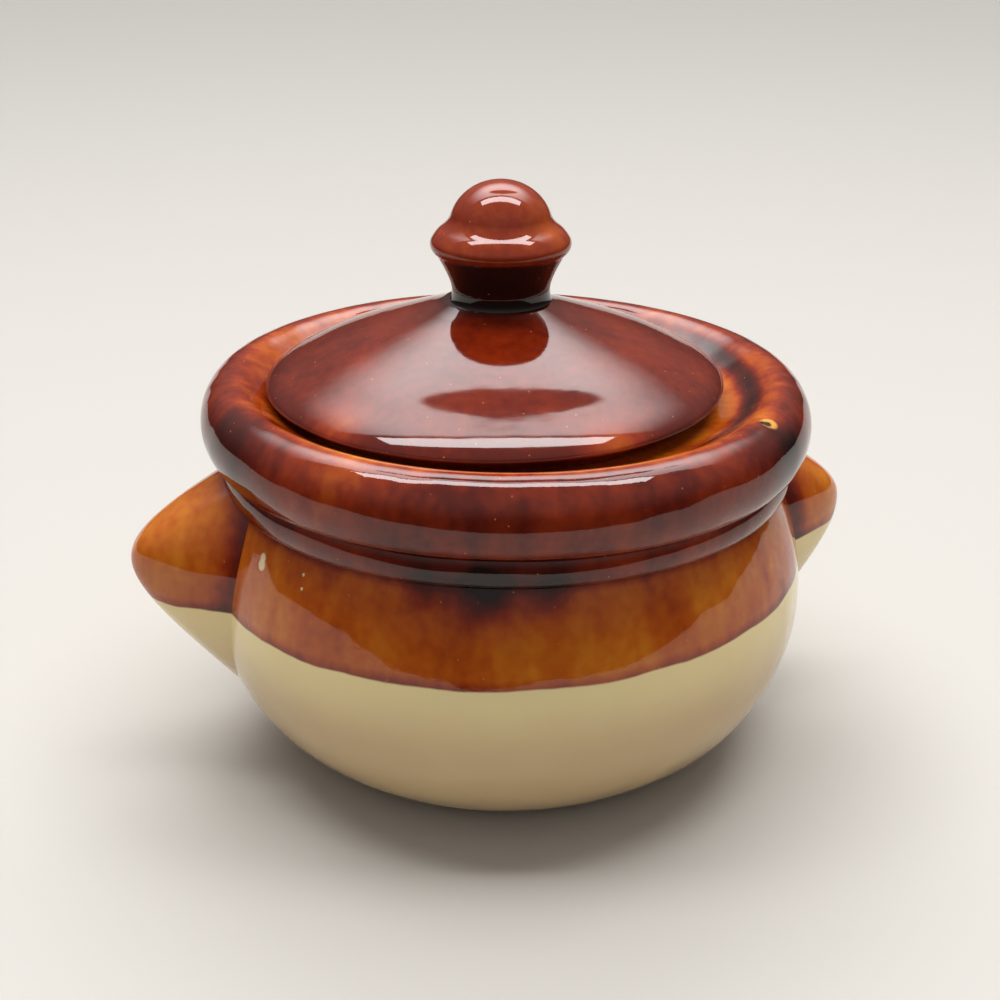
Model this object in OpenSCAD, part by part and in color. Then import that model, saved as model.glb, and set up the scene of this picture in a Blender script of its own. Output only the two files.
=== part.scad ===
// Small stoneware bean pot with two lug handles and a loose, knobbed lid.
// Millimetres, +Z up. The origin is the middle of the foot on the table, and the handles lie along X.

/* [Bowl] */
// Diameter over the rolled rim
rim_d = 124; // [118:0.5:134]
// Height of the rim's crest above the table
rim_z = 79; // [77:0.5:90]
// Width of the rolled rim, from its outside to its inside
rim_w = 13; // [11.5:0.5:14.5]
// Height of the rolled rim, as a whole roll
rim_h = 16.4; // [15:0.2:18]
// Height of the crest above the sharp edge under the roll
rim_under = 14.4; // [13:0.1:14.9]
// Diameter of the belly at its widest
belly_d = 124; // [118:0.5:134]
// Height of the belly's widest ring
belly_z = 33; // [28:0.5:37]
// Diameter of the foot on the table
foot_d = 79; // [70:0.5:88]
// Diameter of the shoulder under the collar
shoulder_d = 112.4; // [109:0.2:115]
// Height of the shoulder
shoulder_z = 57.4; // [54:0.2:58.6]
// How far the collar between the shoulder and the rolled rim stands out past the shoulder
collar_out = 2.4; // [1.6:0.1:3]
// Thickness of the wall
wall = 5; // [4:0.25:6.5]
// Thickness of the floor
floor_t = 6; // [4:0.5:9]
// Depth of the hollow under the foot
foot_recess = 2; // [1:0.25:3]
// Width of the ring that the foot stands on
foot_w = 6; // [4:0.5:10]

/* [Lid seat] */
// Depth of the seat below the rim's crest
seat_drop = 4.8; // [4:0.1:6]
// Width of the soft corner where the rim's inside slope runs out onto the ledge
gallery_w = 2.6; // [1.5:0.1:4]
// Width of the flat ledge that carries the lid
ledge_w = 6.5; // [5:0.5:8]
// Thickness of the ledge
ledge_t = 5.5; // [4:0.5:7]
// Gap all round between the centred lid's edge and the inside of the roll
lid_gap = 2.7; // [1.5:0.1:4]
// Gap all round between the centred lid's foot and the end of the flat ledge
lid_play = 2.8; // [2.6:0.1:4]

/* [Lid] */
// Distance that the loose lid has slid on its seat, towards the left handle
lid_shift = 2.4; // [0:0.1:2.5]
// Height of the lid's lower edge above the seat
lid_edge_z = 2.9; // [2:0.1:4]
// Radius of the rounding under the lid's edge
lid_under_r = 0.8; // [0.6:0.1:1.6]
// Slope of the lid's edge above that rounding
lid_edge_lean = 60; // [50:1:75]
// Length of the soft corner above the lid's edge
lid_edge_soft = 4.5; // [2:0.25:6]
// Distance in from the lid's edge to its brow, the ring where the top bends over to the outer slope
lid_brow_in = 11.6; // [10.4:0.1:13.6]
// Height of the brow above the seat
lid_brow_z = 10.9; // [10.2:0.1:11.6]
// Slope of the lid's top between the brow and the edge
lid_brow_slope = 26.6; // [24:0.2:29]
// Length of the soft corner at the brow, on each side of it
lid_brow_soft = 4; // [2:0.25:4.5]
// Distance in from the lid's edge to the ring where the top begins to climb to the knob
lid_turn_in = 19.3; // [18:0.1:21]
// Height of that ring above the seat
lid_turn_z = 13.8; // [12.8:0.1:14]
// Length of the soft corner at that ring, on each side of it
lid_turn_soft = 3; // [1:0.25:3.5]
// Radius of the ring where the climb turns up to the knob
lid_boss_r = 12.2; // [11.8:0.1:15]
// Height of that ring above the seat
lid_boss_z = 18.9; // [18:0.1:19.4]
// Length of the soft corner below that ring
lid_boss_soft = 1.5; // [1:0.25:4]
// Height of the lid's crown above the seat
lid_rise = 20; // [19.6:0.1:22]
// Thickness of the lid at its crown
lid_t = 6.5; // [5:0.5:8]
// Width of the flat foot ring under the lid
lid_ring_w = 6; // [4.5:0.5:8]

/* [Knob] */
// Diameter of the knob's skirt
knob_d = 28; // [26:0.2:32]
// Height of the knob above the lid's crown
knob_h = 23.8; // [22.4:0.2:27]
// Diameter of the knob's neck
neck_d = 19.6; // [17:0.2:21]
// Height of the narrowest part of the neck above the crown
neck_z = 2.2; // [1.6:0.2:3.4]
// Height of the skirt's widest ring above the crown
skirt_z = 11.4; // [10.8:0.2:13]
// Radius of the skirt's rounded lip
skirt_lip_r = 2; // [1.4:0.1:2.4]
// Height of the cone under the skirt, from the neck to the lip
skirt_drop = 7; // [4:0.2:7.4]
// Diameter of the oval that the knob's dome is part of
dome_d = 20.6; // [19:0.2:21.6]
// Half height of that oval
dome_h = 9.3; // [8.6:0.1:10.4]
// Radius of the ring where the hollow flare between the lip and the dome is flattest
flare_r = 11.9; // [11.5:0.1:12.3]
// Height of that ring above the skirt's widest ring
flare_z = 3.1; // [2.7:0.1:3.5]
// Slope of the flare at that ring
flare_slope = 37; // [34:1:42]
// How far the knob's foot flares out onto the crown
knob_flare = 1.2; // [0.8:0.1:1.5]

/* [Handles] */
// How far a handle's tip stands out past the belly
handle_reach = 14.5; // [11:0.25:20]
// Height above the shoulder at which a handle's sloping top meets it
handle_rise = 2.85; // [0:0.05:4]
// Radius of the ball at a handle's tip
handle_tip_r = 8; // [6:0.25:10]
// Slope of a handle's top, down towards its tip
handle_top_slope = 27; // [20:1:34]
// Slope of a handle's underside, up towards its tip
handle_low_slope = 54; // [48:1:58]
// Width of a handle at its root in the wall
handle_w = 31; // [28:0.5:40]
// Radius of a handle's nose, seen from above
handle_nose_r = 9; // [7:0.25:12]

/* [Hidden] */
$fn = 96;
// Straight pieces in each curved stretch of an outline
STEPS = 16;
// Angle on the roll's oval, from its outside, where its inside slope leaves it
ROLL_IN = 120;
// Angles of the collar's oval, from its outside
COLLAR_ARC = [-90, 60];
// Part of the way out to the lid's ring for which its hollow stays nearly level
CEILING = 0.7;
// Angles of the arc of the knob's lip, from its outside
LIP_ARC = [-60, 32];
// Angle on the dome's oval, from its outside, where the flare of the skirt leaves it
DOME_ARC = 16;

rim_r = rim_d / 2;
roll_half_w = rim_w / 2;
roll_half_h = rim_h / 2;
roll_r = rim_r - roll_half_w;
roll_z = rim_z - roll_half_h;
roll_under = asin((rim_z - rim_under - roll_z) / roll_half_h);
roll_end = [roll_r + roll_half_w * cos(ROLL_IN), roll_z + roll_half_h * sin(ROLL_IN)];

belly_r = belly_d / 2;
foot_r = foot_d / 2;
shoulder_r = shoulder_d / 2;
// Radii of the arcs that leave the belly's widest ring upright and reach the foot and the shoulder
low_arc = tangent_radius(belly_r - foot_r, belly_z);
high_arc = tangent_radius(belly_r - shoulder_r, shoulder_z - belly_z);
// The collar fills the height from the shoulder up to the edge under the roll
collar_half_h = (rim_z - rim_under - shoulder_z) / 2;
collar_z = shoulder_z + collar_half_h;
neck_in_r = high_wall(wall, shoulder_z, belly_z)[0][0];
// The handles' flanks start a little inside the wall
handle_root_r = shoulder_r - wall / 4;
floor_z = foot_recess + floor_t;

lid_r = rim_r - rim_w - lid_gap;
seat_z = rim_z - seat_drop;
// The rim's inside slope goes straight on from the roll down to the height of the seat
gallery_r = roll_end[0] + (roll_end[1] - seat_z) * roll_half_w / roll_half_h * tan(ROLL_IN);
ledge_r = gallery_r - gallery_w;
throat_r = ledge_r - ledge_w;
lid_foot_r = ledge_r - lid_play;
crown_z = seat_z + lid_rise;
knob_foot_r = neck_d / 2 + knob_flare;

handle_tip_x = belly_r + handle_reach;
tip_centre_x = handle_tip_x - handle_tip_r;
// The tip lies on the slope that comes down from the shoulder
tip_centre_z = shoulder_z + handle_rise - handle_tip_r / cos(handle_top_slope)
    - (tip_centre_x - shoulder_r) * tan(handle_top_slope);

// Radius of an arc that starts upright and moves in by `inward` over a height `rise`
function tangent_radius(inward, rise) = (inward * inward + rise * rise) / (2 * inward);

// Points along an arc or an oval from angle a0 to a1
function oval(r, z, half_w, half_h, a0, a1) =
    [for (i = [0:STEPS]) let (a = a0 + (a1 - a0) * i / STEPS) [r + half_w * cos(a), z + half_h * sin(a)]];
function arc(r, z, radius, a0, a1) = oval(r, z, radius, radius, a0, a1);

// Points along a curve that leaves p0 towards p1 and arrives at p2 from p1
function bend(p0, p1, p2) =
    [for (i = [0:STEPS]) let (t = i / STEPS) p0 * pow(1 - t, 2) + p1 * 2 * t * (1 - t) + p2 * t * t];

// Point on the way from p to q, at a distance from p
function towards(p, q, distance) = p + (q - p) * distance / norm(q - p);

// Point where two lines cross, each through a point and falling by so much for each mm outwards
function crossing(p, p_fall, q, q_fall) =
    let (r = (p[1] + p_fall * p[0] - q[1] - q_fall * q[0]) / (p_fall - q_fall))
    [r, p[1] - p_fall * (r - p[0])];

// The corner q between p and s, rounded off over a length on each side
function soft_corner(p, q, s, size) = bend(towards(q, p, size), q, towards(q, s, size));

// Arc concentric with the belly's lower or upper arc, moved in by `inset`, between two heights
function low_wall(inset, z0, z1) = arc(belly_r - low_arc, belly_z, low_arc - inset,
    asin((z0 - belly_z) / (low_arc - inset)), asin((z1 - belly_z) / (low_arc - inset)));
function high_wall(inset, z0, z1) = arc(belly_r - high_arc, belly_z, high_arc - inset,
    asin((z0 - belly_z) / (high_arc - inset)), asin((z1 - belly_z) / (high_arc - inset)));

// Outside of the bowl, from the foot up and over the rim
function bowl_outside() = concat(
    low_wall(0, 0, belly_z),
    high_wall(0, belly_z, shoulder_z),
    oval(shoulder_r, collar_z, collar_out, collar_half_h, COLLAR_ARC[0], COLLAR_ARC[1]),
    oval(roll_r, roll_z, roll_half_w, roll_half_h, roll_under, ROLL_IN)
);

// Inside of the bowl, from the rim down over the lid seat to the middle of the floor
function bowl_inside() = concat(
    bend(roll_end, [gallery_r, seat_z], [ledge_r, seat_z]),
    [[throat_r, seat_z]],
    bend([throat_r, seat_z - ledge_t],
        [neck_in_r, seat_z - ledge_t],
        [neck_in_r, collar_z]),
    high_wall(wall, shoulder_z, belly_z),
    low_wall(wall, belly_z, floor_z),
    [[0, floor_z]]
);

function foot_hollow() = [[0, foot_recess], [foot_r - foot_w, foot_recess], [foot_r - foot_w, 0]];

module pot_bowl() {
    color("#8f4f1e")
    rotate_extrude()
    polygon(concat(foot_hollow(), bowl_outside(), bowl_inside()));
}

// The bowl without its hollows, for cutting the handles to its outside
module bowl_blank() {
    rotate_extrude()
    polygon(concat([[0, 0]], bowl_outside(), [[0, rim_z]]));
}

// Ball at the tip with a cone behind it, which widens as far as the middle of the pot
module round_beak() {
    spread = (handle_top_slope + handle_low_slope) / 2;
    tilt = (handle_low_slope - handle_top_slope) / 2;
    touch_r = handle_tip_r * cos(spread);
    touch_x = handle_tip_r * sin(spread);
    translate([tip_centre_x, 0, tip_centre_z])
    rotate([0, -90 - tilt, 0]) {
        sphere(handle_tip_r);
        translate([0, 0, -touch_x])
        cylinder(h = tip_centre_x, r1 = touch_r, r2 = touch_r + tip_centre_x * tan(spread));
    }
}

// Upright wedge that gives a handle its flat flanks, with a round nose
module flank_wedge() {
    centre_x = handle_tip_x - handle_nose_r;
    root = [handle_root_r, handle_w / 2] - [centre_x, 0];
    touch_a = atan2(root[1], root[0]) - acos(handle_nose_r / norm(root));
    linear_extrude(rim_z)
    polygon(concat(
        arc(centre_x, 0, handle_nose_r, -touch_a, touch_a),
        [[handle_root_r, handle_w / 2], [handle_root_r, -handle_w / 2]]
    ));
}

// One solid lug that points along +X, cut to the wall
module lug() {
    difference() {
        intersection() {
            round_beak();
            flank_wedge();
        }
        bowl_blank();
    }
}

module left_handle() {
    color("#a4601f")
    mirror([1, 0, 0])
    lug();
}

module right_handle() {
    color("#a4601f")
    lug();
}

module lid_plate() {
    ring_in_r = lid_foot_r - lid_ring_w;
    under_edge = arc(lid_r - lid_under_r, lid_edge_z + lid_under_r, lid_under_r, -90, 90 - lid_edge_lean);
    brow = [lid_r - lid_brow_in, lid_brow_z];
    edge = crossing(under_edge[STEPS], tan(lid_edge_lean), brow, tan(lid_brow_slope));
    turn = [lid_r - lid_turn_in, lid_turn_z];
    boss = [lid_boss_r, lid_boss_z];
    ceiling_z = lid_rise - lid_t;
    color("#5e2413")
    translate([-lid_shift, 0, seat_z])
    rotate_extrude()
    polygon(concat(
        [[ring_in_r, 0], [lid_foot_r, 0]],
        under_edge,
        bend(under_edge[STEPS], edge, towards(edge, brow, lid_edge_soft)),
        soft_corner(edge, brow, turn, lid_brow_soft),
        soft_corner(brow, turn, boss, lid_turn_soft),
        bend(towards(boss, turn, lid_boss_soft), boss, [knob_foot_r, lid_rise]),
        [[0, lid_rise]],
        bend([0, ceiling_z], [CEILING * ring_in_r, ceiling_z], [ring_in_r, 0])
    ));
}

module lid_knob() {
    neck_r = neck_d / 2;
    lip = arc(knob_d / 2 - skirt_lip_r, skirt_z, skirt_lip_r, LIP_ARC[0], LIP_ARC[1]);
    dome = oval(0, knob_h - dome_h, dome_d / 2, dome_h, DOME_ARC, 90);
    // The flare leaves the lip and the dome in their own directions
    flare = [flare_r, skirt_z + flare_z];
    flare_fall = tan(flare_slope);
    lip_corner = crossing(lip[STEPS], 1 / tan(LIP_ARC[1]), flare, flare_fall);
    dome_corner = crossing(dome[0], 2 * dome_h / dome_d / tan(DOME_ARC), flare, flare_fall);
    color("#8a4318")
    translate([-lid_shift, 0, crown_z])
    rotate_extrude()
    polygon(concat(
        [[0, 0]],
        bend([knob_foot_r, 0], [neck_r, knob_flare], [neck_r, neck_z]),
        bend([neck_r, neck_z], [neck_r, skirt_z - skirt_drop], lip[0]),
        lip,
        bend(lip[STEPS], lip_corner, flare),
        bend(flare, dome_corner, dome[0]),
        dome
    ));
}

pot_bowl();
left_handle();
right_handle();
lid_plate();
lid_knob();
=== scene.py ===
# %% [markdown]
# # A small lidded bean pot in dipped stoneware
#
# The pot is thrown and moulded clay: a round bowl with a fat rolled rim, two pinched lugs to lift it
# by, and a loose lid with a mushroom knob. It was glazed in two coats. The whole pot got a pale cream
# glaze, and then its upper half, and the lid, were dipped in an iron glaze that fires brown: amber
# where it runs thin, mahogany where it is thick, and almost black where it pools in a groove.
#
# The CAD frame holds the sizes and the way that the lid moves. This script dresses that frame, so the
# first cell loads it, and every piece below is built where the frame has it.

import math

import bmesh
import bpy
from mathutils import Matrix, Vector, noise


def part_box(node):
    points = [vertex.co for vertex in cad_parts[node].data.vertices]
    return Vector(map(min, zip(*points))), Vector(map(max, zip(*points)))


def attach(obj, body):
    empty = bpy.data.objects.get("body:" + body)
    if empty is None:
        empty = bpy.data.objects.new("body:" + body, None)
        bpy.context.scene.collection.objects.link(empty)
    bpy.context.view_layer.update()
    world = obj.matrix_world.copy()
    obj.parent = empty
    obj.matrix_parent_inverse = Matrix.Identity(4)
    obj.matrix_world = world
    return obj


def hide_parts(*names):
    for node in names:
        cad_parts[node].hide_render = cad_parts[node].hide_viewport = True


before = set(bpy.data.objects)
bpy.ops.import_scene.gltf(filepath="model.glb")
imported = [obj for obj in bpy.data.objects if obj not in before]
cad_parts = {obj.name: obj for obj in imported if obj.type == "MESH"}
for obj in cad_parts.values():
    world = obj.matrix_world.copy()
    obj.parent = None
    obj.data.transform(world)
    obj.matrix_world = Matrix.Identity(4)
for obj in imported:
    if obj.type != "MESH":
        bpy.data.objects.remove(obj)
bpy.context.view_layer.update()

# %% [markdown]
# ## The camera
#
# The camera stands close and looks down on the pot from a little to its left, so the left lug comes
# forward and the lid shows as a wide oval. Blender's lens length goes with a 36 mm wide sensor,
# and the distance was found by matching the ovals of the rim and the foot. Everything that belongs to
# the studio, the lamps too, is placed as the camera sees it: so far to the right, away and up.

# %% Set up the camera
MM = 0.001
CAMERA_TURN = math.radians(-13)
CAMERA_TILT = math.radians(23.6)
CAMERA_DISTANCE = 338
SENSOR_WIDTH, LENS = 36, 57.6
AIM_RIGHT, AIM_UP = -1.3, 50


def as_seen(right, away, up):
    """A place in millimetres as the camera sees it, turned into the frame's own axes, in metres."""
    x = right * math.cos(CAMERA_TURN) - away * math.sin(CAMERA_TURN)
    y = right * math.sin(CAMERA_TURN) + away * math.cos(CAMERA_TURN)
    return Vector((x, y, up)) * MM


def point_at(thing, target):
    """Turn a camera or a lamp so that it looks at a place."""
    thing.rotation_euler = (target - thing.location).to_track_quat("-Z", "Y").to_euler()


def placed(name, data):
    """A new object made from its data and linked into the scene."""
    made = bpy.data.objects.new(name, data)
    bpy.context.scene.collection.objects.link(made)
    return made


camera_data = bpy.data.cameras.new("Camera")
camera_data.sensor_width = SENSOR_WIDTH
camera_data.lens = LENS
camera = placed("Camera", camera_data)
camera.location = as_seen(
    AIM_RIGHT,
    -CAMERA_DISTANCE * math.cos(CAMERA_TILT),
    AIM_UP + CAMERA_DISTANCE * math.sin(CAMERA_TILT),
)
point_at(camera, as_seen(AIM_RIGHT, 0, AIM_UP))
bpy.context.scene.camera = camera
print("Camera at", [round(c, 4) for c in camera.location])

# %% [markdown]
# ## Outlines for the wheel
#
# A potter pulls a round shape up from the wheel, and its section says all about it. Blender's spin
# operator does the same: it turns an outline round an axis and leaves faces behind. So each round
# piece needs only its outline, drawn here in millimetres as radius and height, from two kinds of
# curve. A subdivision surface over a few rings could make such forms too, but it rounds off the
# crisp edge below the rim, and an outline keeps it.

# %% Draw curves and spin outlines
STEPS = 16
TURNS = 160


def oval(r, z, half_w, half_h, start, end):
    """Points along an oval, from one angle to another, in degrees."""
    angles = [math.radians(start + (end - start) * i / STEPS) for i in range(STEPS + 1)]
    return [(r + half_w * math.cos(a), z + half_h * math.sin(a)) for a in angles]


def bend(p, q, s):
    """Points along a curve that leaves p towards q and arrives at s from q."""
    points = []
    for i in range(STEPS + 1):
        t = i / STEPS
        shares = (1 - t) ** 2, 2 * t * (1 - t), t ** 2
        points.append(tuple(sum(k * c for k, c in zip(shares, corner)) for corner in zip(p, q, s)))
    return points


def softened(p, q, s, size):
    """The corner q between p and s, rounded off as a coat of glaze does."""
    corner = Vector(q)
    return bend(corner + (Vector(p) - corner).normalized() * size, q,
                corner + (Vector(s) - corner).normalized() * size)


def crossing(p, p_fall, q, q_fall):
    """Where two lines cross, each through a point and falling by so much for each millimetre outwards."""
    r = (p[1] + p_fall * p[0] - q[1] - q_fall * q[0]) / (p_fall - q_fall)
    return r, p[1] - p_fall * (r - p[0])


def spun(outline):
    """A closed mesh from an outline that starts and ends on the Z axis."""
    mesh = bmesh.new()
    points = [mesh.verts.new((r * MM, 0, z * MM)) for r, z in outline]
    edges = [mesh.edges.new(pair) for pair in zip(points, points[1:])]
    bmesh.ops.spin(mesh, geom=points + edges, cent=(0, 0, 0), axis=(0, 0, 1),
                   angle=math.tau, steps=TURNS, use_merge=True)
    bmesh.ops.remove_doubles(mesh, verts=mesh.verts, dist=1e-6)
    bmesh.ops.recalc_face_normals(mesh, faces=mesh.faces)
    return mesh


print("Outlines have", STEPS, "steps to a curve, and the wheel stops", TURNS, "times in a turn")

# %% [markdown]
# ## The hand in it
#
# Nothing on a pot like this is quite true. The rim leans half a degree to the right, and the walls
# wander by a few tenths of a millimetre. Two small moves give that to a mesh: a lean that grows above
# the shoulder, and a slow noise that pushes the wall in and out. The noise is Blender's own and has no
# random seed, so the pot comes out the same each time.

# %% Lean and wander
RIM_LEAN = math.radians(0.6)
LEAN_FROM, LEAN_FULL = 50, 68
WANDER = 0.25
WANDER_SIZE = 30


def smooth_step(low, high, value):
    """0 below low, 1 above high, and an easy slope between them."""
    t = min(max((value - low) / (high - low), 0), 1)
    return t * t * (3 - 2 * t)


def hand_made(mesh, lean=0.0):
    """Lean the upper part of a mesh to the camera's right, and let its walls wander a little."""
    right = as_seen(1, 0, 0) / MM
    for v in mesh.verts:
        place = v.co / MM
        place.z -= lean * smooth_step(LEAN_FROM, LEAN_FULL, place.z) * place.dot(right)
        outwards = Vector((place.x, place.y, 0))
        if outwards.length > 1:
            place += outwards.normalized() * WANDER * noise.noise(place / WANDER_SIZE)
        v.co = place * MM


print("The rim leans by", round(math.degrees(RIM_LEAN), 2), "degrees, the walls wander by", WANDER, "mm")

# %% [markdown]
# ## The bowl
#
# The bowl has a narrow foot, a low belly, and a shoulder that draws in to a round collar. Over it
# hangs the rolled rim, a fat oval in section, which carries on its inside the flat ledge that the lid
# sits on. One outline holds all of it, from the hollow under the foot, up the outside, over the rim
# and down the inside, so the wall has its real thickness everywhere.

# %% Spin the bowl
bowl_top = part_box("pot_bowl")[1] / MM
lid_low, lid_high = (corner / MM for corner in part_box("lid_plate"))

rim_r, rim_z = bowl_top.y, bowl_top.z
roll_half_w, roll_half_h, roll_drop = 6.5, 8.2, 14.4
roll_r, roll_z = rim_r - roll_half_w, rim_z - roll_half_h
roll_under_z = rim_z - roll_drop
roll_under_angle = math.degrees(math.asin((roll_under_z - roll_z) / roll_half_h))
belly_r, belly_z = 62, 33
foot_r, foot_w, foot_recess = 39.5, 6, 2
recess_soft, foot_in_soft, foot_out_soft = 1, 0.6, 0.8
foot_top_z, wall_start_z = 3, 1
shoulder_r, shoulder_z = 56.2, 57.4
collar_out, collar_half_h = 2.4, (roll_under_z - shoulder_z) / 2
collar_z, collar_end = shoulder_z + collar_half_h, 60
wall, floor_z = 5, 8
floor_turn_w, floor_turn_h = 6, 3
seat_z, ledge_t = lid_low.z, 5.5
gallery_w, ledge_w = 2.6, 6.5
roll_soft, ledge_soft = 0.4, 1


def upright_arc(inward, rise):
    """Radius of an arc that starts upright and moves inward over a height."""
    return (inward ** 2 + rise ** 2) / (2 * inward)


low_arc = upright_arc(belly_r - foot_r, belly_z)
high_arc = upright_arc(belly_r - shoulder_r, shoulder_z - belly_z)


def belly(arc, inset, z0, z1):
    """Points on the belly's lower or upper arc, moved in by an inset, between two heights."""
    radius = arc - inset
    ends = [math.degrees(math.asin((z - belly_z) / radius)) for z in (z0, z1)]
    return oval(belly_r - arc, belly_z, radius, radius, *ends)


def wall_radius(z):
    """Radius of the bowl's outside below the rim."""
    if z > shoulder_z:
        return shoulder_r
    arc = low_arc if z < belly_z else high_arc
    return belly_r - arc + math.sqrt(max(arc ** 2 - (z - belly_z) ** 2, 0))


roll_in_angle = 120
roll = oval(roll_r, roll_z, roll_half_w, roll_half_h, roll_under_angle, roll_in_angle)
roll_end = roll[-1]
inside_slope = roll_half_w / roll_half_h * math.tan(math.radians(roll_in_angle))
gallery_r = roll_end[0] + (roll_end[1] - seat_z) * inside_slope
ledge_r = gallery_r - gallery_w
throat_r = ledge_r - ledge_w
ledge_under_z = seat_z - ledge_t
foot_in_r = foot_r - foot_w
foot_top = (wall_radius(foot_top_z), foot_top_z)
collar = oval(shoulder_r, collar_z, collar_out, collar_half_h, -90, collar_end)
inner_shoulder = belly(high_arc, wall, shoulder_z, belly_z)
neck_in_r = inner_shoulder[0][0]
bowl_outline = (
    [(0, foot_recess)]
    + softened((0, foot_recess), (foot_in_r, foot_recess), (foot_in_r, 0), recess_soft)
    + softened((foot_in_r, foot_recess), (foot_in_r, 0), (foot_r, 0), foot_in_soft)
    + softened((foot_in_r, 0), (foot_r, 0), foot_top, foot_out_soft)
    + belly(low_arc, 0, wall_start_z, belly_z)
    + belly(high_arc, 0, belly_z, shoulder_z)
    + collar
    + softened(collar[-1], roll[0], roll[2], roll_soft)
    + roll[1:]
    + bend(roll_end, (gallery_r, seat_z), (ledge_r, seat_z))
    + softened((ledge_r, seat_z), (throat_r, seat_z), (throat_r, ledge_under_z), ledge_soft)
    + softened((throat_r, seat_z), (throat_r, ledge_under_z), (neck_in_r, ledge_under_z), ledge_soft)
    + bend((throat_r + ledge_soft, ledge_under_z), (neck_in_r, ledge_under_z), (neck_in_r, collar_z))
    + inner_shoulder
    + belly(low_arc, wall, belly_z, floor_z + floor_turn_h)
    + [(wall_radius(floor_z) - wall - floor_turn_w, floor_z), (0, floor_z)]
)
bowl_mesh = spun(bowl_outline)
hand_made(bowl_mesh, RIM_LEAN)
print("Bowl:", len(bowl_mesh.verts), "vertices, rim", round(rim_r, 2), "mm at", round(rim_z, 2), "mm")

# %% [markdown]
# ## The lugs
#
# Each handle is a solid lug, pinched from a lump of clay and pressed onto the wall: a blunt beak that
# is deep where it meets the pot and ends in a round nose. A cube with a subdivision surface gives the
# softness but not the depth of the root. A sphere whose rings are slid along the lug's length does
# both: each ring takes the lug's half width and half height at its distance from the nose, and these
# follow a curve that starts round like the nose and goes over into a straight taper.

# %% Stretch two spheres into lugs
LUG_SHIFT = -1.5
lug_depth = 26
nose_r_side, taper_side = 7.0, math.tan(math.radians(37))
nose_r_plan, taper_plan = 6.0, math.tan(math.radians(18))
nose_z, root_drop = 44.6, 0.27
lug_squareness = 2.4
lug_sink = 2.5
LUG_AROUND, LUG_ALONG = 96, 64


def taper(distance, nose_radius, slope):
    """Half size of a round-nosed taper at a distance behind its tip."""
    return math.sqrt((distance * slope) ** 2 + 2 * nose_radius * distance)


def lug(side):
    """One lug on the left (-1) or the right (1), with its back following the inside of the wall."""
    tip_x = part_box("right_handle")[1].x / MM + side * LUG_SHIFT
    mesh = bmesh.new()
    bmesh.ops.create_uvsphere(mesh, u_segments=LUG_AROUND, v_segments=LUG_ALONG, radius=1)
    for v in mesh.verts:
        distance = lug_depth * (1 - v.co.z) / 2
        across = Vector((v.co.x, v.co.y))
        if across.length > 1e-6:
            across.normalize()
        power = 2 / lug_squareness
        half_w = taper(distance, nose_r_plan, taper_plan)
        half_h = taper(distance, nose_r_side, taper_side)
        y = math.copysign(abs(across.x) ** power, across.x) * half_w
        z = math.copysign(abs(across.y) ** power, across.y) * half_h
        place = Vector((side * (tip_x - distance), y, nose_z - root_drop * distance + z))
        from_axis = math.hypot(place.x, place.y)
        inner = wall_radius(place.z) - lug_sink
        if from_axis < inner:
            place.x *= inner / from_axis
            place.y *= inner / from_axis
        v.co = place * MM
    bmesh.ops.recalc_face_normals(mesh, faces=mesh.faces)
    return mesh


lug_meshes = {"left_handle": lug(-1), "right_handle": lug(1)}
print("Lugs:", [len(mesh.verts) for mesh in lug_meshes.values()], "vertices")

# %% [markdown]
# ## The lid
#
# The lid is a shallow dome. It stands on a flat ring, and its thin edge juts out past that. The top is
# steep at the edge, bends at a brow, and from there climbs in a low cone, less and less steep, to the
# knob. Underneath it is hollow, which keeps it light and even in the kiln. It lies a little to the
# left on its seat, as the frame has it.

# %% Spin the lid
lid_x = (lid_high.x + lid_low.x) / 2
lid_r = (lid_high.x - lid_low.x) / 2
knob_low, knob_high = (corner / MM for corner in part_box("lid_knob"))
crown_z = knob_low.z
knob_foot_r = 10.2
lid_play, lid_ring_w, lid_t = 2.8, 6, 6.5
lid_under_r, edge_z, edge_lean = 0.8, seat_z + 3.7, 60
edge_soft, brow_soft, turn_soft, boss_soft = 4.5, 4, 3, 1.5
hollow_share, hollow_soft, ring_soft, lid_foot_soft = 0.7, 0.5, 1, 0.8
brow, brow_fall = Vector((lid_r - 11.6, seat_z + 10.9)), 0.5
turn, boss = Vector((lid_r - 19.3, seat_z + 13.8)), Vector((12.2, seat_z + 18.9))

lid_foot_r = ledge_r - lid_play
ring_in_r = lid_foot_r - lid_ring_w
ceiling_z = crown_z - lid_t
under_edge = oval(lid_r - lid_under_r, edge_z, lid_under_r, lid_under_r, -90, 90 - edge_lean)
edge = Vector(crossing(under_edge[-1], math.tan(math.radians(edge_lean)), brow, brow_fall))
hollow_end = (ring_in_r - hollow_soft, seat_z + hollow_soft)
lid_outline = (
    bend((0, ceiling_z), (hollow_share * ring_in_r, ceiling_z), hollow_end)
    + bend(hollow_end, (ring_in_r, seat_z), (ring_in_r + ring_soft, seat_z))
    + softened((ring_in_r, seat_z), (lid_foot_r, seat_z), under_edge[0], lid_foot_soft)
    + under_edge
    + bend(under_edge[-1], edge, edge + (brow - edge).normalized() * edge_soft)
    + softened(edge, brow, turn, brow_soft)
    + softened(brow, turn, boss, turn_soft)
    + bend(boss + (turn - boss).normalized() * boss_soft, boss, (knob_foot_r, crown_z))
    + [(0, crown_z)]
)
lid_mesh = spun(lid_outline)
bmesh.ops.translate(lid_mesh, verts=lid_mesh.verts, vec=(lid_x * MM, 0, 0))
hand_made(lid_mesh)
print("Lid:", len(lid_mesh.verts), "vertices, radius", round(lid_r, 2), "mm")

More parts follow.
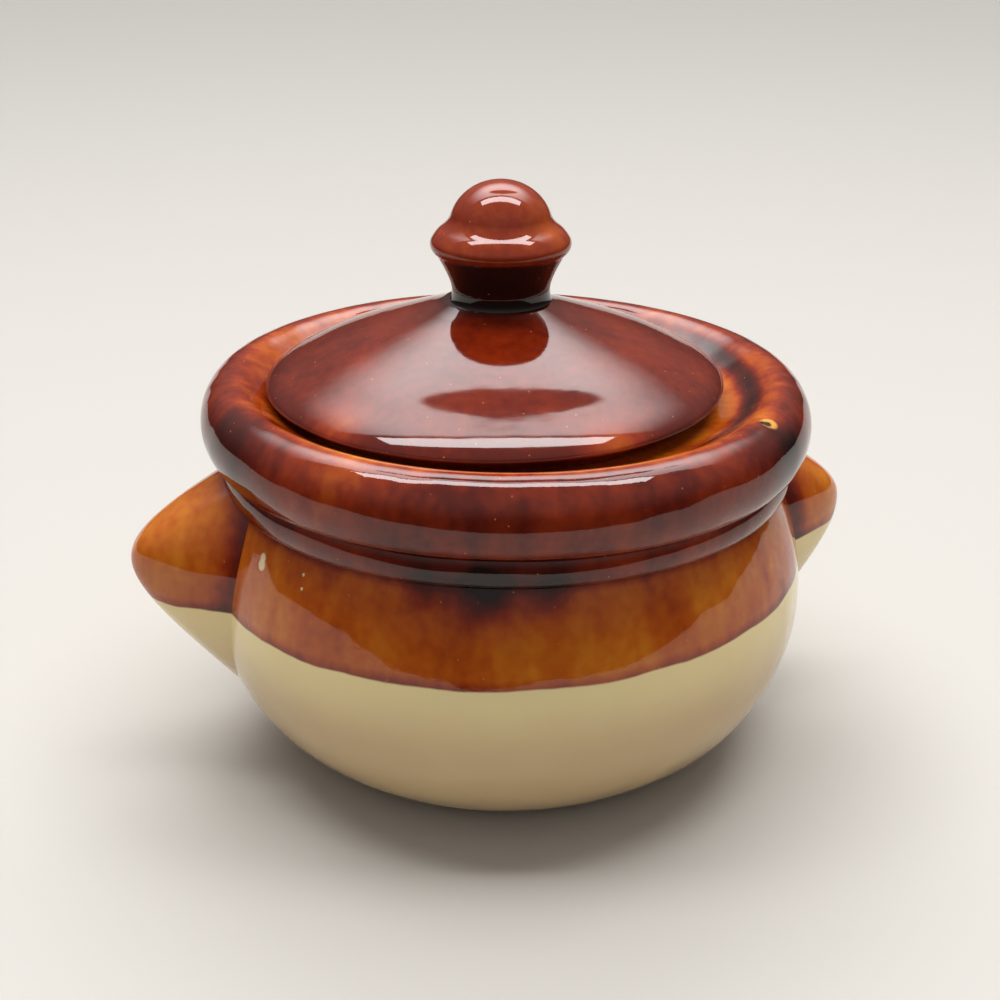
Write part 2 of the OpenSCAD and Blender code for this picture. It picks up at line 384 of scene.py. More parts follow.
# %% [markdown]
# ## The knob
#
# The knob is a small mushroom: a neck that stands on the lid, a skirt with a rounded lip, and a
# dome on top. It was turned by itself and stuck on, a millimetre off the lid's middle, so it is its
# own piece here too.

# %% Spin the knob
knob_r = (knob_high.x - knob_low.x) / 2
neck_r, knob_flare, neck_z = 9.8, 0.6, crown_z + 2.2
skirt_z, skirt_drop = crown_z + 11.4, 7
lip_r, lip_start, lip_angle = 2, -60, 32
KNOB_SHIFT = 1.2
dome_half_w, dome_half_h, dome_angle = 10.3, 9.3, 16
skirt_top, skirt_slope = (11.9, skirt_z + 3.1), 37

lip = oval(knob_r - lip_r, skirt_z, lip_r, lip_r, lip_start, lip_angle)
dome = oval(0, knob_high.z - dome_half_h, dome_half_w, dome_half_h, dome_angle, 90)
skirt_fall = math.tan(math.radians(skirt_slope))
lip_fall = 1 / math.tan(math.radians(lip_angle))
dome_fall = dome_half_h / dome_half_w / math.tan(math.radians(dome_angle))
knob_outline = (
    [(0, crown_z)]
    + bend((knob_foot_r, crown_z), (neck_r, crown_z + knob_flare), (neck_r, neck_z))
    + bend((neck_r, neck_z), (neck_r, skirt_z - skirt_drop), lip[0])
    + lip
    + bend(lip[-1], crossing(lip[-1], lip_fall, skirt_top, skirt_fall), skirt_top)
    + bend(skirt_top, crossing(dome[0], dome_fall, skirt_top, skirt_fall), dome[0])
    + dome
)
knob_mesh = spun(knob_outline)
bmesh.ops.translate(knob_mesh, verts=knob_mesh.verts,
                    vec=Vector((lid_x * MM, 0, 0)) + as_seen(KNOB_SHIFT, 0, 0))
hand_made(knob_mesh)
print("Knob:", len(knob_mesh.verts), "vertices, top at", round(knob_high.z, 2), "mm")

# %% [markdown]
# ## How thick the glaze lies
#
# An iron glaze shows its thickness as colour, so the thickness is worth more than any painted
# colour. It is worked out here for each vertex, from 0, thin, to 1, pooled, and kept as a mesh
# attribute with the name glaze. The material reads it with an Attribute node. The same could be done
# with a mask in the material, but a formula over the pot's own heights is easier to read. Some of it
# is painted light mixed into the thickness: pooled glaze with painted shade in the lug creases, under
# the collar's lip, round the knob's foot and on its neck; painted shade on the gallery and round the
# lid's edge; and a painted sheen and glow on the rim's crest.

# %% Work out how thick the glaze lies
CREASE = 3.0
# Width in mm of the pooled glaze and painted shade round the knob's foot
KNOB_FOOT_POOL_SHADE_W = 1.4
BELLY_COAT, COLLAR_MORE = 0.36, 0.30
# Roll: the coat, less over the crest, and less again in front, where the lighter crest is a painted sheen
ROLL_COAT, CREST_LESS, FRONT_SHEEN = 0.66, 0.15, 0.23
# Inside: the coat, less on the ledge at the right, and painted shade on the gallery slope at the right,
# under the lid's edge
INSIDE_COAT, LEDGE_LESS, GALLERY_SHADE = 0.50, 0.18, 0.65
# Lugs: the coat, and a dark crease against the wall, pooled glaze with painted shade
LUG_COAT, LUG_CREASE_POOL_AND_SHADE = 0.30, 0.4
# Lid: the coat, painted shade round the edge, and pooled glaze with painted shade round the knob's foot
LID_COAT, EDGE_SHADE, KNOB_FOOT_POOL_AND_SHADE = 0.67, 0.06, 0.15
# Knob: the coat, and pooled glaze with painted shade on the neck and under the skirt
KNOB_COAT, NECK_POOL_AND_SHADE = 0.55, 0.65

# Where one coat goes over into another, from and to, in mm: from the shoulder, from the roll's middle and
# its inner end, from the lid's edge, and from the skirt
COLLAR_FADE, CREST_FADE, INSIDE_FADE = (-2, 1), (-2, 2), (-1, 1)
EDGE_FADE, SKIRT_FADE = (-4, -1), (-2.5, -1)

# The same towards the camera's right and away from it, as shares of the rim's radius
RIGHT_FADE, AWAY_FADE = (0.2, 0.8), (-0.9, -0.2)

# Clouds in the coat, as seen by the camera: right, away and up in mm, their size, and what they add
BOWL_CLOUDS_SHADE_AND_GLOW = [
    (-52, -32, 75, 10, 0.26),
    (53, -29, 75, 7, 0.40),
    (50, -26, 79, 4, -0.40),
    # Thinner glaze, which also paints in the soft glow of the rim's highlight
    (-31, -52, 78, 8, -0.24),
    # These three: pooled glaze with painted shade under the lip of the collar
    (-4, -58, 58, 5, 0.85),
    (-15, -56, 58, 4.5, 0.40),
    (8, -57, 58, 4.5, 0.40),
    (20, -57, 46, 8, -0.10),
]
LID_CLOUDS = [
    (-31, -35, 80, 5, -0.22),
    (20, -42, 78, 6, -0.32),
    (8, -6, 110, 4, -0.10),
]


def near(value, middle, spread):
    """1 at the middle, falling away on both sides."""
    return math.exp(-((value - middle) / spread) ** 2)


def share_of_rim(place, direction):
    """How far a place lies in a direction, from -1 at one side of the rim to 1 at the other."""
    return place.dot(direction / MM) / rim_r


def clouds(place, spots):
    """What the thick and thin clouds add to the coat at a place."""
    return sum(change * near((place - as_seen(right, away, up) / MM).length, 0, size)
               for right, away, up, size, change in spots)


def bowl_glaze(place):
    """Thick on roll and collar, thin over the crest, lighter in front as painted sheen, and amber on the
    belly.
    """
    radius = math.hypot(place.x, place.y)
    if place.z < roll_under_z and radius > wall_radius(place.z) - wall / 2:
        collar_up = smooth_step(*COLLAR_FADE, place.z - shoulder_z)
        return BELLY_COAT + COLLAR_MORE * collar_up + clouds(place, BOWL_CLOUDS_SHADE_AND_GLOW)
    right = smooth_step(*RIGHT_FADE, share_of_rim(place, as_seen(1, 0, 0)))
    front = 1 - smooth_step(*AWAY_FADE, share_of_rim(place, as_seen(0, 1, 0)))
    crest = 1 - smooth_step(*CREST_FADE, radius - roll_r)
    # The crest is thinner glaze, and lighter still in front as a painted sheen
    roll_coat = ROLL_COAT - (CREST_LESS + FRONT_SHEEN * front) * crest + clouds(place, BOWL_CLOUDS_SHADE_AND_GLOW)
    # Painted shade: the gallery slope at the right is darkened as the shadow and dark reflection under the
    # lid's edge
    gallery = near(radius, (gallery_r + roll_end[0]) / 2, (roll_end[0] - gallery_r) / 2)
    inside_coat = INSIDE_COAT - LEDGE_LESS * right + GALLERY_SHADE * right * gallery
    on_roll = smooth_step(*INSIDE_FADE, radius - roll_end[0])
    return inside_coat + (roll_coat - inside_coat) * on_roll


def lug_glaze(place):
    """Amber, with a dark line where the lug meets the wall: pooled glaze and painted shade in the crease.
    """
    from_wall = math.hypot(place.x, place.y) - wall_radius(place.z)
    return LUG_COAT + LUG_CREASE_POOL_AND_SHADE * near(from_wall, 0, CREASE)


def lid_glaze(place):
    """Mahogany, darker round the edge as painted shade, and round the knob as pooled glaze with painted
    shade.
    """
    from_middle = math.hypot(place.x - lid_x, place.y)
    # Round the edge the lid is darkened as painted shade
    edge_out = smooth_step(*EDGE_FADE, from_middle - lid_r)
    # Round the knob's foot: pooled glaze with painted shade where the knob meets the lid
    pool_and_shade = 1 - smooth_step(knob_foot_r, knob_foot_r + KNOB_FOOT_POOL_SHADE_W, from_middle)
    return LID_COAT + EDGE_SHADE * edge_out + KNOB_FOOT_POOL_AND_SHADE * pool_and_shade + clouds(place, LID_CLOUDS)


def knob_glaze(place):
    """Red-brown on the dome; near black on the neck and under the skirt, pooled glaze with painted shade.
    """
    # On the neck and under the skirt: pooled glaze with painted shade
    neck = 1 - smooth_step(*SKIRT_FADE, place.z - skirt_z)
    return KNOB_COAT + NECK_POOL_AND_SHADE * neck + clouds(place, LID_CLOUDS)


print("Coat on the rim's left and right:",
      [round(bowl_glaze(as_seen(side * rim_r, 0, roll_z) / MM), 2) for side in (-1, 1)])

# %% [markdown]
# ## Materials
#
# Blender wants linear colour, and a colour picker gives sRGB, so one function turns hex into linear.
# A second adds a node, sets it up and links it, and every material below is built with it. Node
# groups could hold what comes back, but plain calls show each finish's nodes where they are at work.

# %% Colours and nodes


def linear(code):
    """Linear colour from an sRGB hex code."""
    channels = [int(code[i:i + 2], 16) / 255 for i in (1, 3, 5)]
    return [c / 12.92 if c <= 0.04045 else ((c + 0.055) / 1.055) ** 2.4 for c in channels] + [1.0]


def add(tree, kind, settings=None, **sockets):
    """Add a node. Settings are its own fields. Each socket is a value, or another node's output to link."""
    node = tree.nodes.new(kind)
    for name, value in (settings or {}).items():
        setattr(node, name, value)
    for name, value in sockets.items():
        socket = node.inputs[int(name[1:])] if name[1:].isdigit() else node.inputs[name.replace("_", " ")]
        if isinstance(value, bpy.types.NodeSocket):
            tree.links.new(value, socket)
        else:
            socket.default_value = value
    return node


def new_material(name):
    """A material without nodes, and the tree to add them to."""
    material = bpy.data.materials.new(name)
    material.use_nodes = True
    material.node_tree.nodes.clear()
    return material, material.node_tree


print("Middle grey, #808080, is", round(linear("#808080")[0], 3), "in linear light")

# %% [markdown]
# ### What the two glazes share
#
# Iron glaze is a coloured glass. Thin, it lets the pale clay through and looks golden; thick, it
# drinks the light and turns mahogany, then black. So one row of colours, read by thickness, does for
# the whole pot. Noise in three sizes keeps the thickness from being even: slow clouds, runs that
# follow the drip of the wet coat, and a fine mottle. Iron also gathers in tiny golden specks.

# %% Colours of the iron glaze
GLAZE_IOR = 1.52
GLAZE_ROUGHNESS = 0.04

# Iron glaze from thin to pooled: thickness, colour
IRON_GLAZE = [
    (0.00, "#d9a45e"),
    (0.20, "#c8741c"),
    (0.38, "#b0500e"),
    (0.55, "#862a0a"),
    (0.72, "#5a1506"),
    (1.00, "#1c0a05"),
]

# Sizes are in mm. A speck's edge and core are shares of the gap, and a pit's floor is one of its radius
MOTTLE_SIZE, MOTTLE_SWING = 2, 0.14
SPECK_GOLD, SPECK_SHOW = "#d8a058", 0.5
SPECK_GAP, SPECK_EDGE, SPECK_CORE = 3, 0.07, 0.02
PIT_FLOOR = 0.6

# Settings of nodes that come back: an easy slope, and a first value times a second plus a third
EASED = {"interpolation_type": "SMOOTHSTEP"}
TIMES_PLUS = {"operation": "MULTIPLY_ADD"}


def iron_colour(tree, thickness):
    """Colour of the iron glaze at a thickness."""
    ramp = add(tree, "ShaderNodeValToRGB", _0=thickness)
    stops = ramp.color_ramp.elements
    while len(stops) < len(IRON_GLAZE):
        stops.new(0.5)
    for stop, (position, code) in zip(stops, IRON_GLAZE):
        stop.position = position
        stop.color = linear(code)
    return ramp.outputs["Color"]


def mottled(tree, thickness, layers):
    """A thickness with noise patterns laid over it, each with how far it swings."""
    for pattern, swing in layers:
        offset = add(tree, "ShaderNodeMath", {"operation": "SUBTRACT"}, _0=pattern.outputs["Fac"], _1=0.5)
        thickness = add(tree, "ShaderNodeMath", TIMES_PLUS, _0=offset.outputs[0], _1=swing,
                        _2=thickness).outputs[0]
    return thickness


def layered(tree, colour, coats):
    """A colour with others laid over it, each where its mask is 1 and not where it is 0."""
    for mask, coat in coats:
        colour = add(tree, "ShaderNodeMix", {"data_type": "RGBA"}, Factor=mask, _6=colour,
                     _7=coat).outputs[2]
    return colour


def specked(tree, place, colour):
    """Golden iron specks, about a third of a millimetre wide and several millimetres apart."""
    cells = add(tree, "ShaderNodeTexVoronoi", Vector=place, Scale=1 / (SPECK_GAP * MM))
    dots = add(tree, "ShaderNodeMapRange", Value=cells.outputs["Distance"], From_Min=SPECK_EDGE,
               From_Max=SPECK_CORE, To_Max=SPECK_SHOW)
    return layered(tree, colour, [(dots.outputs["Result"], linear(SPECK_GOLD))])


def pits(tree, place, spots):
    """1 in each small round pit, fading out at its edge: right, away, up and radius in mm."""
    mask = None
    for right, away, up, radius in spots:
        gap = add(tree, "ShaderNodeVectorMath", {"operation": "DISTANCE"}, _0=place,
                  _1=as_seen(right, away, up)).outputs["Value"]
        hole = add(tree, "ShaderNodeMapRange", EASED, Value=gap, From_Min=radius * MM,
                   From_Max=PIT_FLOOR * radius * MM).outputs["Result"]
        if mask is None:
            mask = hole
        else:
            mask = add(tree, "ShaderNodeMath", {"operation": "MAXIMUM"}, _0=mask, _1=hole).outputs[0]
    return mask


print("Iron glaze from", IRON_GLAZE[0][1], "to", IRON_GLAZE[-1][1])

# %% [markdown]
# ### Dipped stoneware glaze
#
# The bowl and the lugs wear both coats: cream stoneware glaze below, and iron glaze from the dip line
# up. Both are glassy and smooth, so they share one shader and differ only in colour. The dip line is
# level with the glaze in the tub, but the pot was held a little askew, so the line climbs to the
# right, and it wavers where the coat ran. Just above it the iron glaze gathers in a darker seam.

# %% Make the pot's glaze
DIP_Z, DIP_CLIMB = 39.5, 0.025
DIP_SOFTNESS = 0.25
DIP_WAVER, WAVER_SIZE = 1.4, 12
SEAM_W, SEAM_DEPTH = 2.2, 0.22
CLOUD_SIZE, CLOUD_SWING = 16, 0.42
RUN_SIZE, RUN_SWING, RUN_SQUEEZE = 5, 0.32, 0.25
CREAM_PALE, CREAM_DEEP = "#edd79c", "#d3b688"
CREAM_HIGH, CREAM_LOW, CREAM_SWING = 40, 24, 0.3
PIT_CREAM, PIT_SHARE = "#e2c79a", 0.2
SWELL_SIZE, SWELL_DEPTH = 14, 0.7
GRAIN_SIZE, GRAIN_SHARE = 0.7, 0.01
BOWL_PITS = [
    (-46.7, -35.3, 51.9, 1.5),
    (-46.6, -35.0, 53.2, 1.2),
    (-37.7, -43.8, 54.0, 0.4),
    (-38.1, -44.8, 51.6, 0.4),
]
CHIP_PALE, CHIP_DARK = "#cf9440", "#2c2410"
CHIP_HALO = [(49.3, -28.6, 78.6, 2.2)]
CHIP_CORE = [(48.9, -29.2, 78.8, 1.3), (48.0, -29.0, 78.9, 1.1)]

pot_glaze, tree = new_material("dipped stoneware glaze")
place = add(tree, "ShaderNodeTexCoord").outputs["Object"]
thick = add(tree, "ShaderNodeAttribute", {"attribute_name": "glaze"}).outputs["Fac"]

# Height above the slanting dip line, with the waver of the wet coat
climb = as_seen(DIP_CLIMB, 0, 0) / MM
level = add(tree, "ShaderNodeVectorMath", {"operation": "DOT_PRODUCT"}, _0=place,
            _1=(-climb.x, -climb.y, 1)).outputs["Value"]
waver = add(tree, "ShaderNodeTexNoise", Vector=place, Scale=1 / (WAVER_SIZE * MM), Detail=2.0)
height = add(tree, "ShaderNodeMath", TIMES_PLUS, _0=waver.outputs["Fac"], _1=DIP_WAVER * MM,
             _2=level).outputs[0]
line_z = DIP_Z + DIP_WAVER / 2
dipped = add(tree, "ShaderNodeMapRange", EASED, Value=height, From_Min=(line_z - DIP_SOFTNESS) * MM,
             From_Max=(line_z + DIP_SOFTNESS) * MM).outputs["Result"]
seam = add(tree, "ShaderNodeMapRange", Value=height, From_Min=line_z * MM, From_Max=(line_z + SEAM_W) * MM,
           To_Min=SEAM_DEPTH, To_Max=0.0).outputs["Result"]

# Iron glaze: slow clouds, runs drawn out to four times their width, and a fine mottle
drawn_out = add(tree, "ShaderNodeMapping", Vector=place, Scale=(1, 1, RUN_SQUEEZE)).outputs["Vector"]
cloud = add(tree, "ShaderNodeTexNoise", Vector=place, Scale=1 / (CLOUD_SIZE * MM), Detail=3.0)
run = add(tree, "ShaderNodeTexNoise", Vector=drawn_out, Scale=1 / (RUN_SIZE * MM), Detail=2.0)
mottle = add(tree, "ShaderNodeTexNoise", Vector=place, Scale=1 / (MOTTLE_SIZE * MM), Detail=2.0)
coat = add(tree, "ShaderNodeMath", {"operation": "ADD"}, _0=thick, _1=seam).outputs[0]
coat = mottled(tree, coat, [(cloud, CLOUD_SWING), (run, RUN_SWING), (mottle, MOTTLE_SWING)])
iron = specked(tree, place, iron_colour(tree, coat))

# Cream glaze: palest under the dip line, and deeper towards the foot
lower = add(tree, "ShaderNodeMapRange", EASED, Value=height, From_Min=CREAM_HIGH * MM,
            From_Max=CREAM_LOW * MM).outputs["Result"]
deeper = mottled(tree, lower, [(cloud, CREAM_SWING)])
cream = layered(tree, linear(CREAM_PALE), [(deeper, linear(CREAM_DEEP))])
pitted = pits(tree, place, BOWL_PITS)
colour = layered(tree, cream, [
    (dipped, iron),
    (pitted, linear(PIT_CREAM)),
    (pits(tree, place, CHIP_HALO), linear(CHIP_PALE)),
    (pits(tree, place, CHIP_CORE), linear(CHIP_DARK)),
])

# The fired surface swells slowly, has the faint grain of orange peel, and drops into the pits
swell = add(tree, "ShaderNodeTexNoise", Vector=place, Scale=1 / (SWELL_SIZE * MM), Detail=1.0)
grain = add(tree, "ShaderNodeTexNoise", Vector=place, Scale=1 / (GRAIN_SIZE * MM), Detail=1.0)
relief = add(tree, "ShaderNodeMath", TIMES_PLUS, _0=grain.outputs["Fac"], _1=GRAIN_SHARE,
             _2=swell.outputs["Fac"]).outputs[0]
relief = add(tree, "ShaderNodeMath", TIMES_PLUS, _0=pitted, _1=-PIT_SHARE, _2=relief).outputs[0]
bump = add(tree, "ShaderNodeBump", Strength=1.0, Distance=SWELL_DEPTH * MM, Height=relief)
shader = add(tree, "ShaderNodeBsdfPrincipled", Base_Color=colour, Roughness=GLAZE_ROUGHNESS, IOR=GLAZE_IOR,
             Normal=bump.outputs["Normal"])
add(tree, "ShaderNodeOutputMaterial", Surface=shader.outputs["BSDF"])
print("Dip line at", DIP_Z, "mm, with", len(BOWL_PITS), "pits")

# %% [markdown]
# ### Mahogany iron glaze
#
# The lid and the knob were dipped whole, and the coat is thick enough to go mahogany. The lid was
# turned on the wheel, and faint rings from the tool show as streaks in its shine. They follow circles
# round the lid's middle, so their noise is read by radius, with the direction on top as a slow part.

# %% Make the lid's glaze
LID_PITS = [
    (24.9, -17.0, 84.4, 0.6),
    (33.3, -24.2, 82.3, 0.6),
    (31.8, -27.8, 82.0, 0.5),
    (24.8, -7.1, 85.3, 0.4),
    (-17.2, -42.0, 81.6, 0.6),
]
LID_CLOUD_SIZE, LID_CLOUD_SWING = 12, 0.24
RING_W, RING_ARC, RING_SHARE = 1.3, 7, 0.12
RING_SMOOTH, RING_ROUGH, RING_ROUGHNESS = 0.35, 0.7, 0.09
RIPPLE_SIZE, RIPPLE_DEPTH, RIPPLE_STRENGTH = 6, 0.1, 0.3

lid_finish, tree = new_material("mahogany iron glaze")
place = add(tree, "ShaderNodeTexCoord").outputs["Object"]
thick = add(tree, "ShaderNodeAttribute", {"attribute_name": "glaze"}).outputs["Fac"]
cloud = add(tree, "ShaderNodeTexNoise", Vector=place, Scale=1 / (LID_CLOUD_SIZE * MM), Detail=3.0)
mottle = add(tree, "ShaderNodeTexNoise", Vector=place, Scale=1 / (MOTTLE_SIZE * MM), Detail=2.0)
coat = mottled(tree, thick, [(cloud, LID_CLOUD_SWING), (mottle, MOTTLE_SWING)])
pitted = pits(tree, place, LID_PITS)
colour = layered(tree, specked(tree, place, iron_colour(tree, coat)), [(pitted, linear(PIT_CREAM))])

# Rings round the lid's middle: noise that changes fast with the radius and slowly with the direction
flat = add(tree, "ShaderNodeMapping", Vector=place, Location=(-lid_x * MM, 0, 0),
           Scale=(1, 1, 0)).outputs["Vector"]
radius = add(tree, "ShaderNodeVectorMath", {"operation": "LENGTH"}, _0=flat).outputs["Value"]
compass = add(tree, "ShaderNodeVectorMath", {"operation": "NORMALIZE"}, _0=flat).outputs["Vector"]
outwards = add(tree, "ShaderNodeCombineXYZ", Z=radius).outputs["Vector"]
around = add(tree, "ShaderNodeVectorMath", TIMES_PLUS, _0=compass, _1=(RING_ARC * MM, RING_ARC * MM, 0),
             _2=outwards).outputs["Vector"]
rings = add(tree, "ShaderNodeTexNoise", Vector=around, Scale=1 / (RING_W * MM), Detail=3.0).outputs["Fac"]
shine = add(tree, "ShaderNodeMapRange", Value=rings, From_Min=RING_SMOOTH, From_Max=RING_ROUGH,
            To_Min=GLAZE_ROUGHNESS, To_Max=RING_ROUGHNESS).outputs["Result"]
ripple = add(tree, "ShaderNodeTexNoise", Vector=place, Scale=1 / (RIPPLE_SIZE * MM), Detail=1.0)
relief = add(tree, "ShaderNodeMath", TIMES_PLUS, _0=rings, _1=RING_SHARE,
             _2=ripple.outputs["Fac"]).outputs[0]
relief = add(tree, "ShaderNodeMath", {"operation": "SUBTRACT"}, _0=relief, _1=pitted).outputs[0]
bump = add(tree, "ShaderNodeBump", Strength=RIPPLE_STRENGTH, Distance=RIPPLE_DEPTH * MM, Height=relief)
shader = add(tree, "ShaderNodeBsdfPrincipled", Base_Color=colour, Roughness=shine, IOR=GLAZE_IOR,
             Normal=bump.outputs["Normal"])
add(tree, "ShaderNodeOutputMaterial", Surface=shader.outputs["BSDF"])
print("Lid glaze with", len(LID_PITS), "pits")

# %% [markdown]
# ### Unglazed stoneware
#
# A glazed foot would weld itself to the kiln shelf, so the ring that the pot stands on, and the ring
# under the lid, are wiped bare. What shows is fired clay: buff, dry to the eye, and gritty.

# %% Make the bare clay
CLAY_DARK, CLAY_PALE = "#a98862", "#cfb48c"
CLAY_ROUGHNESS, CLAY_IOR = 0.85, 1.5
GRIT_SIZE, GRIT_SWING = 0.8, 0.8
GRIT_DEPTH, GRIT_STRENGTH = 0.1, 0.5
TONE_SIZE = 9

bare_clay, tree = new_material("unglazed buff stoneware")
place = add(tree, "ShaderNodeTexCoord").outputs["Object"]
grit = add(tree, "ShaderNodeTexNoise", Vector=place, Scale=1 / (GRIT_SIZE * MM), Detail=3.0)
tone = add(tree, "ShaderNodeTexNoise", Vector=place, Scale=1 / (TONE_SIZE * MM), Detail=2.0)
shade = mottled(tree, tone.outputs["Fac"], [(grit, GRIT_SWING)])
colour = layered(tree, linear(CLAY_DARK), [(shade, linear(CLAY_PALE))])
bump = add(tree, "ShaderNodeBump", Strength=GRIT_STRENGTH, Distance=GRIT_DEPTH * MM,
           Height=grit.outputs["Fac"])
shader = add(tree, "ShaderNodeBsdfPrincipled", Base_Color=colour, Roughness=CLAY_ROUGHNESS, IOR=CLAY_IOR,
             Normal=bump.outputs["Normal"])
add(tree, "ShaderNodeOutputMaterial", Surface=shader.outputs["BSDF"])
print("Bare clay from", CLAY_DARK, "to", CLAY_PALE)

# %% [markdown]
# ## Dress the frame
#
# Each mesh becomes an object at the origin, with its place in its vertices. It rides on the body that
# its CAD node belongs to, and stands in for that node.

# %% Turn the meshes into pieces
SHARP = math.radians(40)
FOOT_BARE, RING_BARE = 0.7, 0.4


def piece(name, mesh, glaze, body, node, material, bare_below=-1):
    """Make an object from a mesh, glaze it down to a height and tie it to the frame."""
    layer = mesh.verts.layers.float.new("glaze")
    for v in mesh.verts:
        v[layer] = glaze(v.co / MM)
    for face in mesh.faces:
        face.smooth = True
        face.material_index = int(face.calc_center_median().z / MM < bare_below)
    for e in mesh.edges:
        e.smooth = e.calc_face_angle(0) < SHARP
    data = bpy.data.meshes.new(name)
    mesh.to_mesh(data)
    mesh.free()
    made = placed(name, data)
    data.materials.append(material)
    data.materials.append(bare_clay)
    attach(made, body)
    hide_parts(node)


piece("glazed_bowl", bowl_mesh, bowl_glaze, "pot", "pot_bowl", pot_glaze,
      bare_below=FOOT_BARE)
for node, mesh in lug_meshes.items():
    piece("glazed_" + node, mesh, lug_glaze, "pot", node, pot_glaze)
piece("glazed_lid", lid_mesh, lid_glaze, "lid", "lid_plate", lid_finish,
      bare_below=seat_z + RING_BARE)
piece("glazed_knob", knob_mesh, knob_glaze, "lid", "lid_knob", lid_finish)

# %% [markdown]
# ## The table
#
# The pot stands on a plain pale board, matt, so that it takes the shadow and gives no mirror image. A
# glossy pot shows what is round it, so the board's edge matters too: it lies a hand's length in front
# of the pot, and past it the room is dark. That gives the sharp change of tone along the front of the
# rim. One flat face, stretched away from the camera, is all it takes.

# %% Lay the table
TABLE_FRONT = 210
TABLE_SIZE = 6
TABLE_NARROW = 0.25
TABLE_PALE, TABLE_ROUGHNESS = "#b6b2ac", 0.7

table_mesh = bmesh.new()
bmesh.ops.create_grid(table_mesh, x_segments=1, y_segments=1, size=TABLE_SIZE / 2)
bmesh.ops.scale(table_mesh, verts=table_mesh.verts, vec=(TABLE_NARROW, 1, 1))
bmesh.ops.translate(table_mesh, verts=table_mesh.verts, vec=(0, TABLE_SIZE / 2 - TABLE_FRONT * MM, 0))
bmesh.ops.rotate(table_mesh, verts=table_mesh.verts, cent=(0, 0, 0),
                 matrix=Matrix.Rotation(CAMERA_TURN, 3, "Z"))
table_data = bpy.data.meshes.new("Table")
table_mesh.to_mesh(table_data)
table_mesh.free()
table = placed("Table", table_data)
table_paint, tree = new_material("matt pale board")
shader = add(tree, "ShaderNodeBsdfPrincipled", Base_Color=linear(TABLE_PALE), Roughness=TABLE_ROUGHNESS)
add(tree, "ShaderNodeOutputMaterial", Surface=shader.outputs["BSDF"])
table_data.materials.append(table_paint)
print("Table from", -TABLE_FRONT, "mm back to", round(TABLE_SIZE / MM) - TABLE_FRONT, "mm")

# %% [markdown]
# ## The lamps
#
# One long lamp hangs straight above and draws the thin bright lines on the rim, the lid's edge and the
# knob. Glaze shows a flat lamp in its own shape, and a point lamp would leave only dots. A second, weak
# lamp fills in the front. It is kept out of reflections, where it would show as a bright square.

# %% Hang the lamps
STRIP_LENGTH, STRIP_WIDTH, STRIP_WATTS = 1250, 240, 11
STRIP_AWAY, STRIP_UP = 20, 1080
FILL_SIZE, FILL_WATTS = 800, 1
FILL_NEAR, FILL_UP, FILL_AIM_UP = 900, 450, 40


def soft_lamp(name, watts, width, depth, place):
    """A flat lamp, so wide and so deep in mm, that shines straight down until it is turned."""
    data = bpy.data.lights.new(name, "AREA")
    data.shape = "RECTANGLE"
    data.size = width * MM
    data.size_y = depth * MM
    data.energy = watts
    lamp = placed(name, data)
    lamp.location = place
    return lamp


strip = soft_lamp("Strip lamp", STRIP_WATTS, STRIP_LENGTH, STRIP_WIDTH, as_seen(0, STRIP_AWAY, STRIP_UP))
strip.rotation_euler = (0, 0, CAMERA_TURN)
fill = soft_lamp("Front fill", FILL_WATTS, FILL_SIZE, FILL_SIZE, as_seen(0, -FILL_NEAR, FILL_UP))
fill.visible_glossy = False
point_at(fill, as_seen(0, 0, FILL_AIM_UP))

# %% [markdown]
# ## The room
#
# Gloss shows the room, so the room matters as much as the lamps. High up behind the pot a wide soft
# window lays the pale sheen on the lid, and a dark bow that hangs across it leaves the dark oval in
# that sheen. Lamps and boards could do this too, but the world's own nodes need only directions: how
# far up, aside or away a line of sight points, each from -1 to 1.

# %% Light the room
ROOM_DARK, ROOM_LIGHT = 0.05, 0.40
ROOM_LOW, ROOM_HIGH = -0.1, 0.7
WINDOW_LIGHT = 5.5
WINDOW_UP, WINDOW_ASIDE, WINDOW_AWAY = (0.48, 0.80), (0.80, 0.24), (0.19, 0.24)
BOW_RIGHT, BOW_MIDDLE, BOW_HALF_W, BOW_HALF_H, BOW_CURVE = 0.05, 0.385, 0.31, 0.10, 0.8
BOW_DARK, BOW_CLEAR = 0.9, 1.05

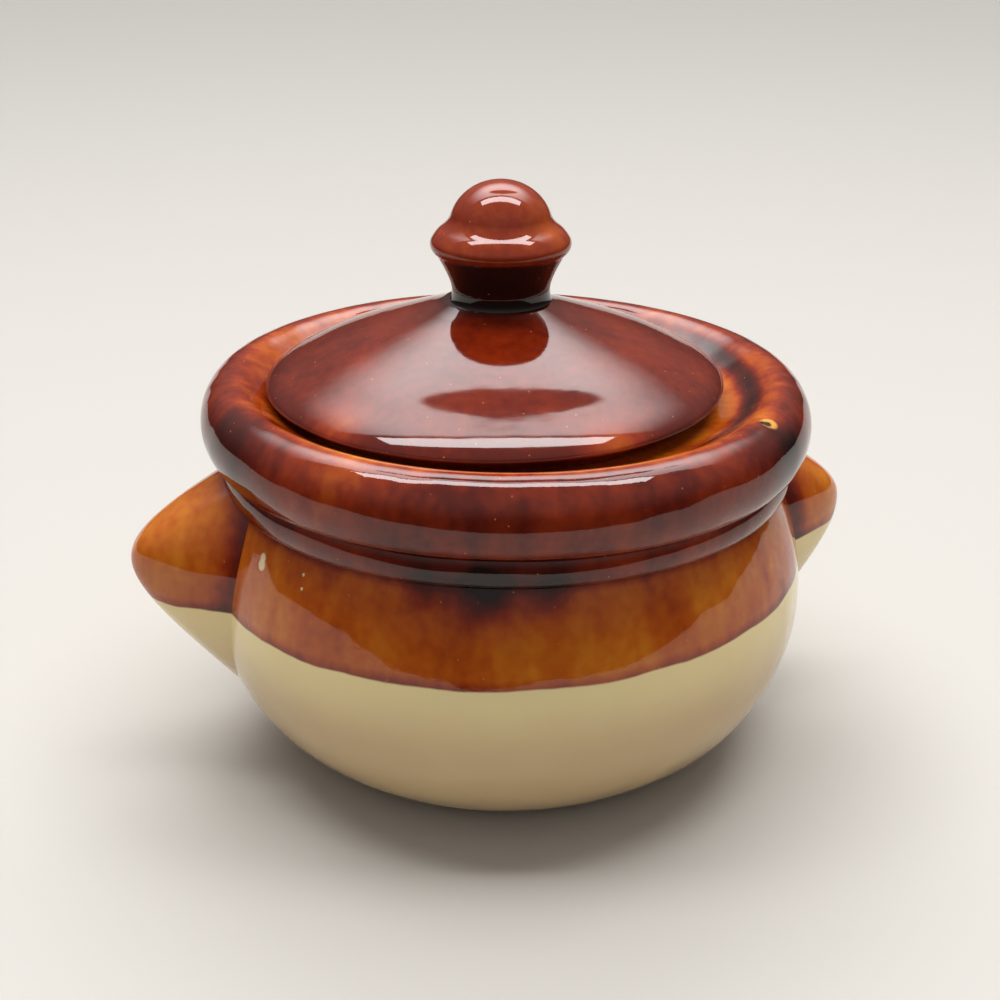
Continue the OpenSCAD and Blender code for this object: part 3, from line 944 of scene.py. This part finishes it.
room = bpy.data.worlds.new("Room")
bpy.context.scene.world = room
room.use_nodes = True
tree = room.node_tree
tree.nodes.clear()
facing = add(tree, "ShaderNodeTexCoord").outputs["Generated"]
seen = add(tree, "ShaderNodeMapping", Vector=facing, Rotation=(0, 0, -CAMERA_TURN)).outputs["Vector"]
parts = add(tree, "ShaderNodeSeparateXYZ", Vector=seen).outputs
aside = add(tree, "ShaderNodeMath", {"operation": "ABSOLUTE"}, _0=parts["X"]).outputs[0]
light = add(tree, "ShaderNodeMapRange", EASED, Value=parts["Z"], From_Min=ROOM_LOW, From_Max=ROOM_HIGH,
            To_Min=ROOM_DARK, To_Max=ROOM_LIGHT).outputs["Result"]

# The window lies inside three soft limits, each with where it is out and where it is full
window = WINDOW_LIGHT
for reach, (out, full) in [(parts["Z"], WINDOW_UP), (aside, WINDOW_ASIDE), (parts["Y"], WINDOW_AWAY)]:
    limit = add(tree, "ShaderNodeMapRange", EASED, Value=reach, From_Min=out, From_Max=full)
    window = add(tree, "ShaderNodeMath", {"operation": "MULTIPLY"}, _0=limit.outputs["Result"],
                 _1=window).outputs[0]

# A dark bow hangs across it: its middle, its half width and height, and how it curves back
squared = add(tree, "ShaderNodeMath", {"operation": "MULTIPLY"}, _0=aside, _1=aside).outputs[0]
bowed = add(tree, "ShaderNodeMath", TIMES_PLUS, _0=squared, _1=-BOW_CURVE, _2=parts["Y"]).outputs[0]
across = add(tree, "ShaderNodeMapRange", {"clamp": False}, Value=parts["X"], From_Min=BOW_RIGHT,
             From_Max=BOW_RIGHT + BOW_HALF_W).outputs["Result"]
along = add(tree, "ShaderNodeMapRange", {"clamp": False}, Value=bowed, From_Min=BOW_MIDDLE,
            From_Max=BOW_MIDDLE + BOW_HALF_H).outputs["Result"]
in_bow = add(tree, "ShaderNodeCombineXYZ", X=across, Y=along).outputs["Vector"]
from_bow = add(tree, "ShaderNodeVectorMath", {"operation": "LENGTH"}, _0=in_bow).outputs["Value"]
clear = add(tree, "ShaderNodeMapRange", EASED, Value=from_bow, From_Min=BOW_DARK, From_Max=BOW_CLEAR)
light = add(tree, "ShaderNodeMath", TIMES_PLUS, _0=window, _1=clear.outputs["Result"], _2=light).outputs[0]
sky = add(tree, "ShaderNodeBackground", Color=linear("#ffffff"), Strength=light)
add(tree, "ShaderNodeOutputWorld", Surface=sky.outputs["Background"])
bpy.context.scene.view_settings.view_transform = "Standard"
print("Window at", WINDOW_LIGHT, "over a room at", ROOM_LIGHT)
